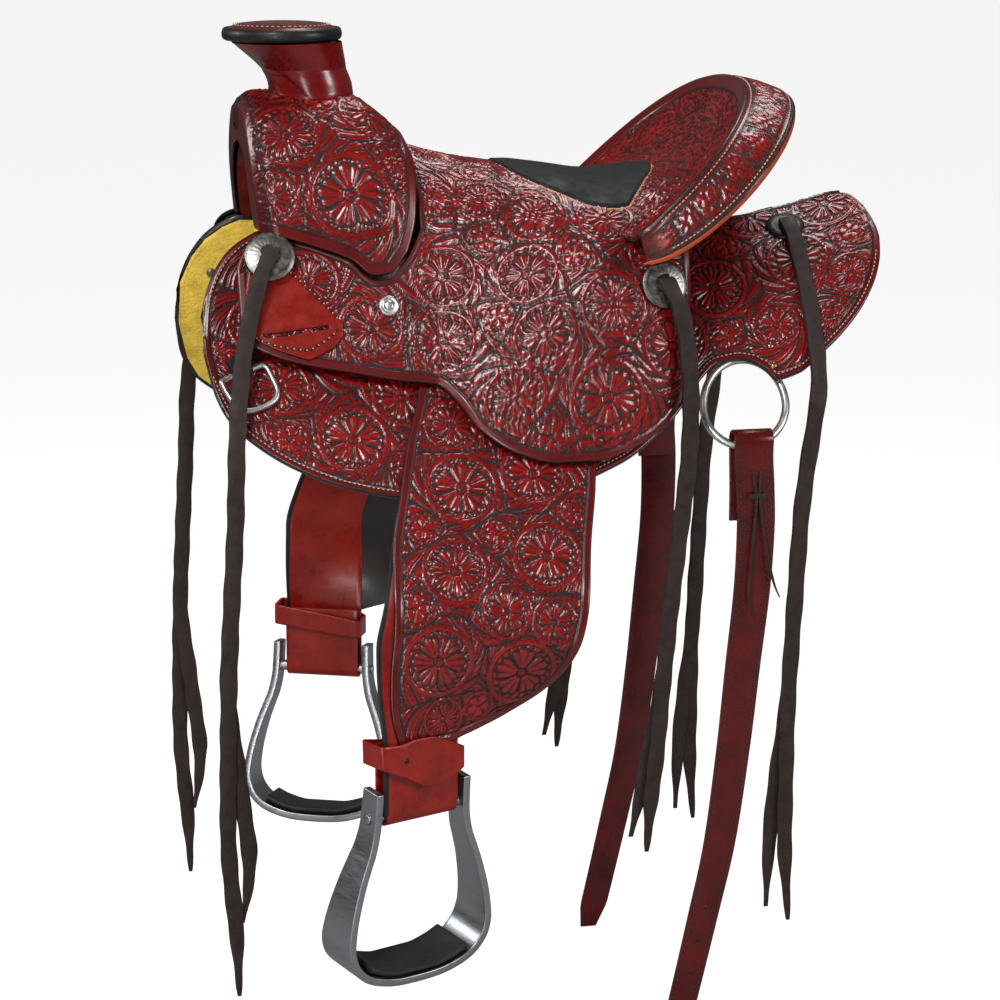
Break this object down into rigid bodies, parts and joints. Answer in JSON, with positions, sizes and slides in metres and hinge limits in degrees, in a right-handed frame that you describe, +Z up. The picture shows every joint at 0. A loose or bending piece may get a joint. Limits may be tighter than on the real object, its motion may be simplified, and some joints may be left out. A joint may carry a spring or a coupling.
{
  "type": "western saddle",
  "caption": "Western riding saddle with horn, padded seat, stitched cantle roll, swinging fenders and stirrups, rigging rings, billets and thongs.",
  "frame": {"origin": "the middle of the underside channel at the ridge line of the skirts, in the middle plane, near the middle of the seat", "axes": "+Z up, +X towards the cantle and the tail, -X towards the horn and the head; +Y is the horse's right, the off side"},
  "size_m": [0.7195, 0.6254, 1.0564],
  "materials": {
    "tooled_leather": "antiqued floral tooling, gloss",
    "plain_leather": "smooth, gloss",
    "strap_leather": "smooth strap leather, satin",
    "black_leather": "smooth, stitched, satin",
    "string_leather": "latigo thong, matte",
    "lining": "synthetic fleece, yellow",
    "tree_wood": "bare",
    "steel": "polished",
    "silver": "engraved, antiqued",
    "aluminium": "brushed",
    "tread_rubber": "ribbed, matte"
  },
  "bodies": {
    "saddle": {"skirt_near": "tooled_leather", "skirt_lining_near": "lining", "tree_bar_near": "tree_wood", "skirt_off": "tooled_leather", "skirt_lining_off": "lining", "tree_bar_off": "tree_wood", "tree_fork": "tree_wood", "swell_cover": "tooled_leather", "gullet_lining": "plain_leather", "horn_post": "tree_wood", "horn_wrap": "plain_leather", "horn_cap": "tooled_leather", "horn_binding": "black_leather", "seat_leather": "tooled_leather", "ground_seat": "plain_leather", "seat_pad": "black_leather", "tree_cantle": "tree_wood", "cantle_back": "tooled_leather", "cantle_roll": "tooled_leather", "latigo_carrier_near": "plain_leather", "front_concho_near": "silver", "seat_concho_near": "silver", "seat_screw_near": "steel", "rear_rosette_near": "black_leather", "latigo_carrier_off": "plain_leather", "front_concho_off": "silver", "seat_concho_off": "silver", "seat_screw_off": "steel", "rear_rosette_off": "black_leather", "rear_rigging_ring_near": "steel", "front_rigging_ring_near": "steel", "dee_tab_near": "black_leather", "rear_rigging_ring_off": "steel", "front_rigging_ring_off": "steel", "dee_tab_off": "black_leather", "front_strings_near": "string_leather", "seat_strings_near": "string_leather", "back_strings_near": "string_leather", "front_strings_off": "string_leather", "seat_strings_off": "string_leather", "back_strings_off": "string_leather"},
    "near_fender_assembly": {"fender_near": "tooled_leather", "stirrup_leather_near": "plain_leather", "hobble_strap_near": "plain_leather"},
    "near_stirrup_assembly": {"stirrup_near": "aluminium", "stirrup_tread_near": "tread_rubber", "stirrup_bolt_near": "steel"},
    "near_breast_dee_body": {"breast_dee_near": "steel"},
    "near_flank_billet_body": {"flank_billet_near": "strap_leather"},
    "off_fender_assembly": {"fender_off": "tooled_leather", "stirrup_leather_off": "plain_leather", "hobble_strap_off": "plain_leather"},
    "off_stirrup_assembly": {"stirrup_off": "aluminium", "stirrup_tread_off": "tread_rubber", "stirrup_bolt_off": "steel"},
    "off_breast_dee_body": {"breast_dee_off": "steel"},
    "off_flank_billet_body": {"flank_billet_off": "strap_leather"}
  },
  "joints": [
    {"name": "near_fender_swing", "type": "hinge", "parent": "saddle", "child": "near_fender_assembly", "pos_m": [-0.1, -0.12906, -0.10293], "axis": [0, -0.829, 0.5592], "range_deg": [-16, 16]},
    {"name": "near_stirrup_swing", "type": "hinge", "parent": "near_fender_assembly", "child": "near_stirrup_assembly", "pos_m": [-0.14694, -0.26878, -0.526], "axis": [-0.9135, -0.4067, 0], "range_deg": [-30, 40]},
    {"name": "near_breast_dee_flop", "type": "hinge", "parent": "saddle", "child": "near_breast_dee_body", "pos_m": [-0.2915, -0.13716, -0.1088], "axis": [0.9334, 0.2331, 0.2727], "range_deg": [-15, 0]},
    {"name": "near_flank_billet_swing", "type": "hinge", "parent": "saddle", "child": "near_flank_billet_body", "pos_m": [0.221, -0.1762, -0.1971], "axis": [1, 0, 0], "range_deg": [-50, 5]},
    {"name": "off_fender_swing", "type": "hinge", "parent": "saddle", "child": "off_fender_assembly", "pos_m": [-0.1, 0.12906, -0.10293], "axis": [0, -0.829, -0.5592], "range_deg": [-16, 16]},
    {"name": "off_stirrup_swing", "type": "hinge", "parent": "off_fender_assembly", "child": "off_stirrup_assembly", "pos_m": [-0.14694, 0.26878, -0.526], "axis": [0.9135, -0.4067, 0], "range_deg": [-30, 40]},
    {"name": "off_breast_dee_flop", "type": "hinge", "parent": "saddle", "child": "off_breast_dee_body", "pos_m": [-0.2915, 0.13716, -0.1088], "axis": [-0.9334, 0.2331, -0.2727], "range_deg": [-15, 0]},
    {"name": "off_flank_billet_swing", "type": "hinge", "parent": "saddle", "child": "off_flank_billet_body", "pos_m": [0.221, 0.1762, -0.1971], "axis": [-1, 0, 0], "range_deg": [-50, 5]}
  ]
}
